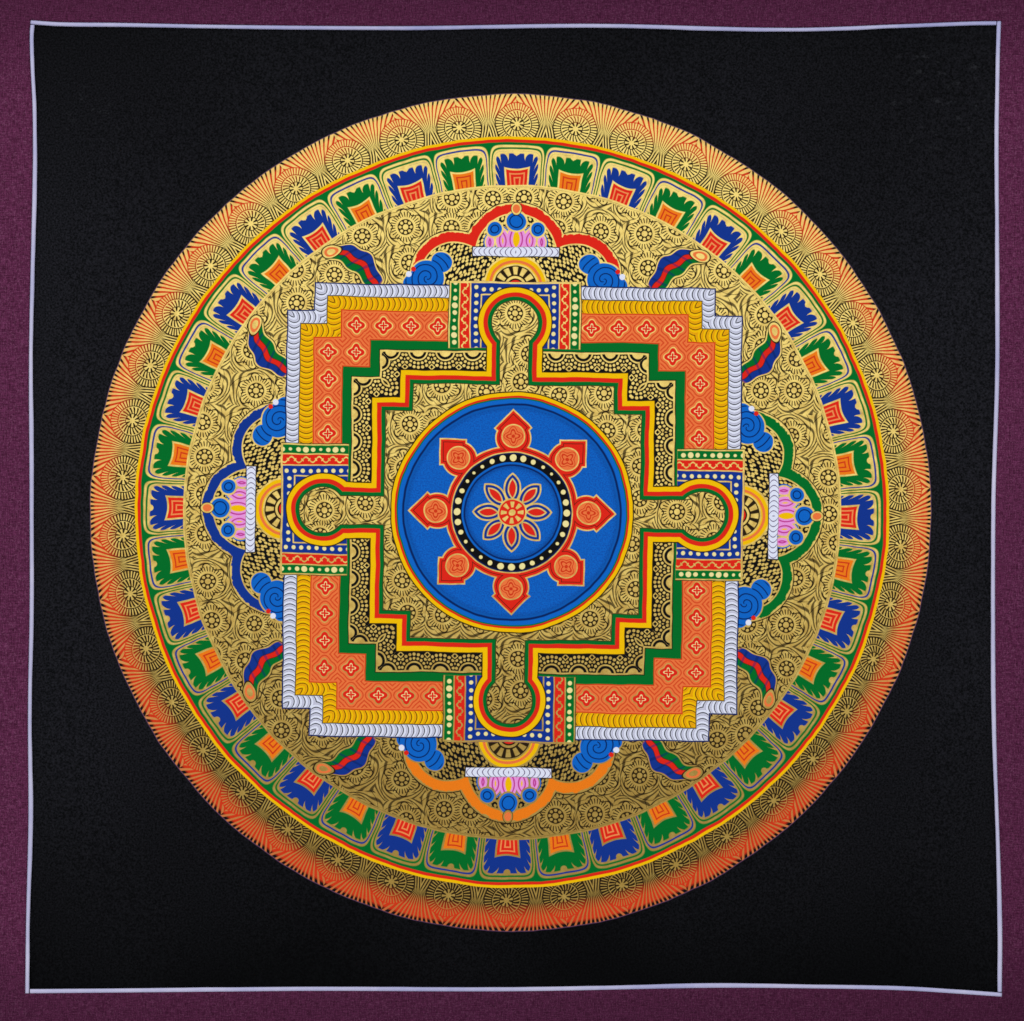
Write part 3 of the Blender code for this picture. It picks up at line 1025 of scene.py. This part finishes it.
def piping_satin():
    """Pale satin: smooth threads along the strip, soft sheen, faint grey handling marks, and painted shade
    that darkens each side's strip by its own amount.
    """
    finish, tree, shader, place = new_finish("lavender piping satin", 0.50, 0.30)
    shader.inputs["Sheen Weight"].default_value = 0.12
    shader.inputs["Sheen Roughness"].default_value = 0.4
    x, _, z = parted(tree, place)
    floats = ((x + z) * (math.pi / SATIN_THREAD)).sine()
    drift, _ = speckle(tree, place, 16.0, 2.0, 0.6)
    fine, _ = speckle(tree, place, 260.0, 1.0)
    # painted shade: the top, bottom, left and right strips are darkened by different amounts, as light
    # falls on each side
    shaded_ends = z.above(-0.125, 0.03) * 0.72 + z.below(-0.580, 0.03) * 0.60
    low = (x.below(-0.20, 0.04) * 0.46 + x.above(0.21, 0.04) * 0.42).most(shaded_ends)
    share = low + drift.scaled(1.2, -0.6) + fine.scaled(0.3, -0.15)
    colour = mixed(tree, share.above(0.5, 1.0), pigment(208, 204, 226), pigment(150, 152, 198))
    tree.links.new(colour, shader.inputs["Base Color"])
    raise_threads(tree, shader, floats * 0.25 + fine * 0.5, 0.00006, 0.5)
    return finish


def hem_thread():
    finish, tree, shader, place = new_finish("plum sewing thread", 0.6, 0.25)
    x, _, z = parted(tree, place)
    twist = ((x + z * 0.6) * (math.pi / SEWING_THREAD)).sine()
    # painted shade and highlight: darker in the twist's grooves and lighter on its ridges
    colour = mixed(tree, twist.above(0.0, 1.4), pigment(58, 22, 46), pigment(96, 50, 78))
    tree.links.new(colour, shader.inputs["Base Color"])
    raise_threads(tree, shader, twist, 0.00008, 0.6)
    return finish


# Pieces

def cloth_grid(name, columns, rows):
    """A square grid of cells, one unit wide, its middle at the origin."""
    bpy.ops.object.select_all(action="DESELECT")
    bpy.ops.mesh.primitive_grid_add(x_subdivisions=columns, y_subdivisions=rows, size=1.0)
    cloth = bpy.context.object
    cloth.name = cloth.data.name = name
    return cloth


def give_thickness(cloth, thickness, group=None, thin_share=1.0, back=0):
    """Doubles the cloth to the back and closes its edges."""
    solidify = cloth.modifiers.new("Cloth thickness", "SOLIDIFY")
    solidify.offset = -1.0
    solidify.thickness = thickness
    solidify.material_offset = back
    solidify.material_offset_rim = back
    if group:
        solidify.vertex_group = group
        solidify.thickness_vertex_group = thin_share
    bpy.context.view_layer.objects.active = cloth
    bpy.ops.object.modifier_apply(modifier=solidify.name)


def from_points(name, points, faces):
    mesh = bpy.data.meshes.new(name)
    mesh.from_pydata(points, [], faces)
    mesh.update()
    piece = bpy.data.objects.new(name, mesh)
    bpy.context.scene.collection.objects.link(piece)
    return piece


CANVAS_CELLS = 130


def painted_canvas():
    """The canvas, drawn in slightly by its seams."""
    canvas = cloth_grid("painted_canvas_sheet", CANVAS_CELLS, CANVAS_CELLS)
    margin = CANVAS_MARGIN / WINDOW
    for vert in canvas.data.vertices:
        u = between(-margin, 1 + margin, vert.co.x + 0.5)
        v = between(-margin, 1 + margin, vert.co.y + 0.5)
        x = between(window_left(v), window_right(v), u)
        z = between(window_bottom(u), window_top(u), v)
        pucker = 0.0
        for inset, along in ((u, z), (1 - u, z + 3), (v, x + 6), (1 - v, x + 9)):
            fade = math.exp(-max(inset * WINDOW, 0.0) / PUCKER_REACH)
            ruffle = noise.noise(Vector((along * PUCKERS_ALONG, inset * 12, 0.0)))
            pucker += PUCKER_DEPTH * fade * abs(ruffle)
        vert.co = (x, hang(x, z) + CANVAS_FACE + pucker, z)
    give_thickness(canvas, CLOTH, back=1)
    spread_picture(canvas)
    canvas.data.shade_smooth()
    lay_out_picture(canvas)
    return canvas


# The canvas's UV map: the front, a strip for the back beside it, and the rim above
MAP_EDGE = 0.002
MAP_FRONT = 0.955
MAP_BACK = 0.962
MAP_BACK_WIDTH = 0.036
MAP_RIM = 0.995
MAP_RIM_CELL = 0.0018
MAP_RIM_LOW = 0.965
MAP_RIM_HIGH = 0.985


def spread_picture(canvas):
    """Lays the front over most of the UV map, and the back and the rim beside it."""
    mesh = canvas.data
    while mesh.uv_layers:
        mesh.uv_layers.remove(mesh.uv_layers[0])
    places = mesh.uv_layers.new(name="OFBake").data
    low_x, high_x = min(v.co.x for v in mesh.vertices), max(v.co.x for v in mesh.vertices)
    low_z, high_z = min(v.co.z for v in mesh.vertices), max(v.co.z for v in mesh.vertices)
    front_cells = CANVAS_CELLS * CANVAS_CELLS
    rim = 0
    for face in mesh.polygons:
        is_front = face.index < front_cells
        face.material_index = 0 if is_front else 1
        if face.index < 2 * front_cells:
            start, width = (MAP_EDGE, MAP_FRONT) if is_front else (MAP_BACK, MAP_BACK_WIDTH)
            for loop in face.loop_indices:
                spot = mesh.vertices[mesh.loops[loop].vertex_index].co
                places[loop].uv = (start + width * (spot.x - low_x) / (high_x - low_x),
                                   MAP_EDGE + MAP_FRONT * (spot.z - low_z) / (high_z - low_z))
        else:
            start = MAP_EDGE + MAP_RIM * rim / (4 * CANVAS_CELLS)
            end = start + MAP_RIM_CELL
            corners = (
                (start, MAP_RIM_LOW), (end, MAP_RIM_LOW), (end, MAP_RIM_HIGH), (start, MAP_RIM_HIGH))
            for loop, corner in zip(face.loop_indices, corners):
                places[loop].uv = corner
            rim += 1


# The piping's section, in millimetres: out towards the painting, and back from the piping's face
PIPING_SECTION = (
    (-7.15, 0.35), (-4.0, 0.10), (-1.9, -0.10), (-1.2, -0.22), (-0.5, -0.40), (0.2, -0.42),
    (0.62, -0.24), (0.90, 0.08), (1.00, 0.48), (0.90, 0.84), (0.62, 1.02), (0.2, 1.08),
    (-1.6, 1.10), (-7.15, 1.10),
)
PIPING_STATIONS = 240


def piping_strip(name, place):
    """One folded strip. place(share, out) gives a point at a share of its length, out from the
    window's edge under the mount."""
    points, faces = [], []
    count = len(PIPING_SECTION)
    own = len(name)            # each strip wavers in its own way
    for step in range(PIPING_STATIONS + 1):
        share = step / PIPING_STATIONS
        width = 0.45 * noise.noise(Vector((share * 8, own, 0.0)))
        width += 0.12 * noise.noise(Vector((share * 31, own, 0.0)))
        lift = 0.10 * noise.noise(Vector((share * 47, 0.0, own)))
        for inward, back in PIPING_SECTION:
            # the sewn edge runs straight, and only the fold wavers
            shown = clamp((inward + 2.0) / 3.0, 0.0, 1.0)
            x, z = place(share, -(inward + width * shown) / 1000)
            y = (back + lift * shown) / 1000 + PIPING_FACE
            points.append((x, hang(x, z) + y, z))
    for step in range(PIPING_STATIONS):
        for corner in range(count):
            here, there = step * count + corner, step * count + (corner + 1) % count
            faces.append((here, there, there + count, here + count))
    faces.append(tuple(range(count))[::-1])
    faces.append(tuple(range(PIPING_STATIONS * count, (PIPING_STATIONS + 1) * count)))
    strip = from_points(name, points, faces)
    bpy.ops.object.select_all(action="DESELECT")
    bpy.context.view_layer.objects.active = strip
    strip.select_set(True)
    bpy.ops.object.mode_set(mode="EDIT")
    bpy.ops.mesh.select_all(action="SELECT")
    bpy.ops.mesh.normals_make_consistent(inside=False)
    bpy.ops.object.mode_set(mode="OBJECT")
    bpy.ops.object.shade_smooth_by_angle(angle=math.radians(50))
    return strip


def all_piping():
    inner = PIPING_SHOWS / 2
    outer = inner + PIPING_TURN_IN
    butt = inner + GAP

    def top(share, out):
        x = between(window_left(1) - outer, window_right(1) - butt, share)
        return x, window_top(share_across(x)) + out

    def right(share, out):
        z = between(window_bottom(1) + butt, window_top(1) + outer, share)
        return window_right(share_up(z)) + out, z

    def bottom(share, out):
        x = between(window_left(0) + butt, window_right(0) + outer, share)
        return x, window_bottom(share_across(x)) - out

    def left(share, out):
        z = between(window_bottom(0) - outer, window_top(0) - butt, share)
        return window_left(share_up(z)) - out, z

    satin = piping_satin()
    strips = []
    for side, place in (("top", top), ("right", right), ("bottom", bottom), ("left", left)):
        strip = piping_strip("piping_strip_" + side, place)
        strip.data.materials.append(satin)
        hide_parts("piping_" + side)
        strips.append(strip)
    return strips


def band_stations(low_band, low_cells, high_band, high_cells):
    """Stations of the mount one way, from -1 at one outer edge to 0 and 1 at the window and 2 at
    the other edge, with the least and greatest value that are single cloth."""
    low_hem, high_hem = -1.0 + HEM_WIDTH / low_band, 2.0 - HEM_WIDTH / high_band
    low_step, high_step = HEM_STEP / low_band, HEM_STEP / high_band
    fold = FOLD_ROUND
    values = stations(
        (-1.0, 3), (low_hem, 1), (low_hem + low_step, low_cells), (-2.2 * fold / low_band, 1),
        (-fold / low_band, 3), (0.0, 100), (1.0, 3), (1.0 + fold / high_band, 1),
        (1.0 + 2.2 * fold / high_band, high_cells), (high_hem - high_step, 1), (high_hem, 3), (2.0, 1),
    )
    return values, low_hem + low_step / 2, high_hem - high_step / 2


def mount_place(u, v):
    """Where a share of the mount's columns and rows lies."""
    inner = PIPING_SHOWS / 2 - MOUNT_OVERLAP
    half_width = MOUNT_WIDTH / 2 - SIDE_DRAW_IN * math.sin(math.pi * (v + 1) / 3)

    def across(low_edge, low, high, high_edge, share):
        if share < 0:
            return between(low, low_edge, -share)
        if share > 1:
            return between(high, high_edge, share - 1)
        return between(low, high, share)

    x = across(-half_width, window_left(v) - inner, window_right(v) + inner, half_width, u)
    z = across(-MOUNT_HEIGHT, window_bottom(u) - inner, window_top(u) + inner, 0.0, v)
    return x, z


def mount_cloth():
    """One cloth with a window. Its outer edge is hemmed, and its inner edge folds under."""
    columns, first_column, last_column = band_stations(SIDE_BAND, 12, SIDE_BAND, 12)
    rows, first_row, last_row = band_stations(MOUNT_BELOW, 24, MOUNT_ABOVE, 16)
    cloth = cloth_grid("mount_cloth_sheet", len(columns) - 1, len(rows) - 1)
    mesh = cloth.data
    for vert in mesh.vertices:
        column = round((vert.co.x + 0.5) * (len(columns) - 1))
        row = round((vert.co.y + 0.5) * (len(rows) - 1))
        vert.co = (columns[column], rows[row], 0)

    bpy.ops.object.mode_set(mode="EDIT")
    bpy.ops.mesh.select_all(action="DESELECT")
    bpy.ops.mesh.select_mode(type="FACE")
    bpy.ops.object.mode_set(mode="OBJECT")
    for face in mesh.polygons:
        face.select = 0 < face.center.x < 1 and 0 < face.center.y < 1
    bpy.ops.object.mode_set(mode="EDIT")
    bpy.ops.mesh.delete(type="FACE")
    bpy.ops.mesh.select_mode(type="VERT")
    bpy.ops.object.mode_set(mode="OBJECT")

    doubled, shares = [], []
    for vert in mesh.vertices:
        u, v = vert.co.x, vert.co.y
        shares.append((u, v))
        if not (first_column < u < last_column and first_row < v < last_row):
            doubled.append(vert.index)
        x, z = mount_place(u, v)
        vert.co = (x, hang(x, z) + MOUNT_FACE, z)
    group = cloth.vertex_groups.new(name="hem")
    group.add(doubled, 1.0, "REPLACE")
    give_thickness(cloth, HEM_THICKNESS, group.name, CLOTH / HEM_THICKNESS)

    for (u, v), vert in zip(shares, mesh.vertices):
        beside = max(-u, u - 1, 0.0) * SIDE_BAND
        band = MOUNT_BELOW if v < 0 else MOUNT_ABOVE
        above = max(-v, v - 1, 0.0) * band
        near = math.hypot(beside, above)
        if near < FOLD_ROUND:
            vert.co.y += FOLD_DEPTH * (1 - near / FOLD_ROUND) ** 2
    mesh.shade_smooth()
    mesh.materials.clear()
    mesh.materials.append(mount_cotton())
    return cloth


STITCH_LENGTH = 0.0030
STITCH_PITCH = 0.0040
STITCH_HALF = 0.00022
STITCH_INSET = 0.0105      # from the mount's outer edge to the hem's line of stitches
STITCH_SIDES = 6
# A share of a stitch's length, its thickness there, and how far back of the cloth's face it lies there,
# both in halves of the thread's thickness
STITCH_ROWS = (
    (0.0, 0.25, 0.10), (0.18, 0.85, -0.55), (0.5, 1.0, -0.75), (0.82, 0.85, -0.55), (1.0, 0.25, 0.10),
)


def hem_stitches():
    """Running stitches that hold the hem, one short run of thread after another."""
    inset_side, inset_low, inset_high = (
        STITCH_INSET / SIDE_BAND, STITCH_INSET / MOUNT_BELOW, STITCH_INSET / MOUNT_ABOVE)
    low_u, high_u, low_v, high_v = -1 + inset_side, 2 - inset_side, -1 + inset_low, 2 - inset_high
    corners = [mount_place(u, v) for u, v in
               ((low_u, low_v), (high_u, low_v), (high_u, high_v), (low_u, high_v))]
    points, faces = [], []
    for start, end in zip(corners, corners[1:] + corners[:1]):
        length = math.dist(start, end)
        count = int(length / STITCH_PITCH)
        for number in range(count):
            middle = (number + 0.5) / count
            swing = STITCH_LENGTH / 2 / length
            add_stitch(points, faces, start, end, middle - swing, middle + swing)
    stitches = from_points("hem_stitches", points, faces)
    stitches.data.shade_smooth()
    stitches.data.materials.append(hem_thread())
    return stitches


def add_stitch(points, faces, start, end, first, last):
    """One stitch from a first to a last share of the way, sunk into the cloth at its ends."""
    base = len(points)
    straight = (end[0] - start[0], end[1] - start[1])
    length = math.hypot(*straight)
    side = (-straight[1] / length, straight[0] / length)
    for along, thick, lift in STITCH_ROWS:
        share = between(first, last, along)
        x, z = between(start[0], end[0], share), between(start[1], end[1], share)
        bow = 0.0
        if abs(straight[1]) > abs(straight[0]):
            bow = SIDE_DRAW_IN * math.sin(math.pi * -z / MOUNT_HEIGHT) * -math.copysign(1, x)
        y = hang(x, z) + MOUNT_FACE + lift * STITCH_HALF
        for corner in range(STITCH_SIDES):
            angle = 2 * math.pi * corner / STITCH_SIDES
            off = math.cos(angle) * STITCH_HALF * thick
            points.append((x + bow + side[0] * off, y - math.sin(angle) * STITCH_HALF * thick,
                           z + side[1] * off))
    for row in range(len(STITCH_ROWS) - 1):
        for corner in range(STITCH_SIDES):
            here = base + row * STITCH_SIDES + corner
            there = base + row * STITCH_SIDES + (corner + 1) % STITCH_SIDES
            faces.append((here, there, there + STITCH_SIDES, here + STITCH_SIDES))
    faces.append(tuple(range(base, base + STITCH_SIDES))[::-1])
    top = base + (len(STITCH_ROWS) - 1) * STITCH_SIDES
    faces.append(tuple(range(top, top + STITCH_SIDES)))


def studio():
    """A pale floor, a pale sky, two soft lamps and the camera."""
    bpy.ops.object.select_all(action="DESELECT")
    bpy.ops.mesh.primitive_plane_add(size=12, location=(0, 0, FLOOR_LEVEL))
    floor = bpy.context.object
    floor.name = "studio_floor"
    finish, tree, shader, place = new_finish("pale studio floor", 0.8, 0.3)
    tone, _ = speckle(tree, place, 3.0)
    colour = mixed(tree, tone.above(0.5, 0.8), (0.60, 0.595, 0.585, 1.0), (0.66, 0.655, 0.645, 1.0))
    tree.links.new(colour, shader.inputs["Base Color"])
    floor.data.materials.append(finish)

    world = bpy.data.worlds.new("studio sky")
    world.use_nodes = True
    sky = world.node_tree.nodes["Background"]
    sky.inputs["Color"].default_value = SKY_COLOUR
    sky.inputs["Strength"].default_value = SKY_STRENGTH
    bpy.context.scene.world = world

    for name, spot, size, power in LAMPS:
        light = bpy.data.lights.new(name, "AREA")
        light.size = size
        light.energy = power
        lamp = bpy.data.objects.new(name, light)
        lamp.location = spot
        lamp.rotation_euler = (VIEW_MIDDLE - spot).to_track_quat("-Z", "Y").to_euler()
        bpy.context.scene.collection.objects.link(lamp)

    camera = bpy.data.cameras.new("front camera")
    camera.sensor_width = SENSOR_WIDTH
    camera.lens = SENSOR_WIDTH * VIEW_DISTANCE / VIEW_WIDTH
    viewer = bpy.data.objects.new("front camera", camera)
    viewer.location = VIEW_MIDDLE - Vector((0.0, VIEW_DISTANCE, 0.0))
    viewer.rotation_euler = (math.pi / 2, 0.0, 0.0)
    bpy.context.scene.collection.objects.link(viewer)
    bpy.context.scene.camera = viewer
    bpy.context.scene.view_settings.view_transform = "Standard"


def main():
    studio()
    canvas = painted_canvas()
    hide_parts("painting")
    strips = all_piping()
    mount = mount_cloth()
    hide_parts("mount_cloth")
    stitches = hem_stitches()
    for piece in (canvas, *strips, mount, stitches):
        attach(piece, "root")


main()
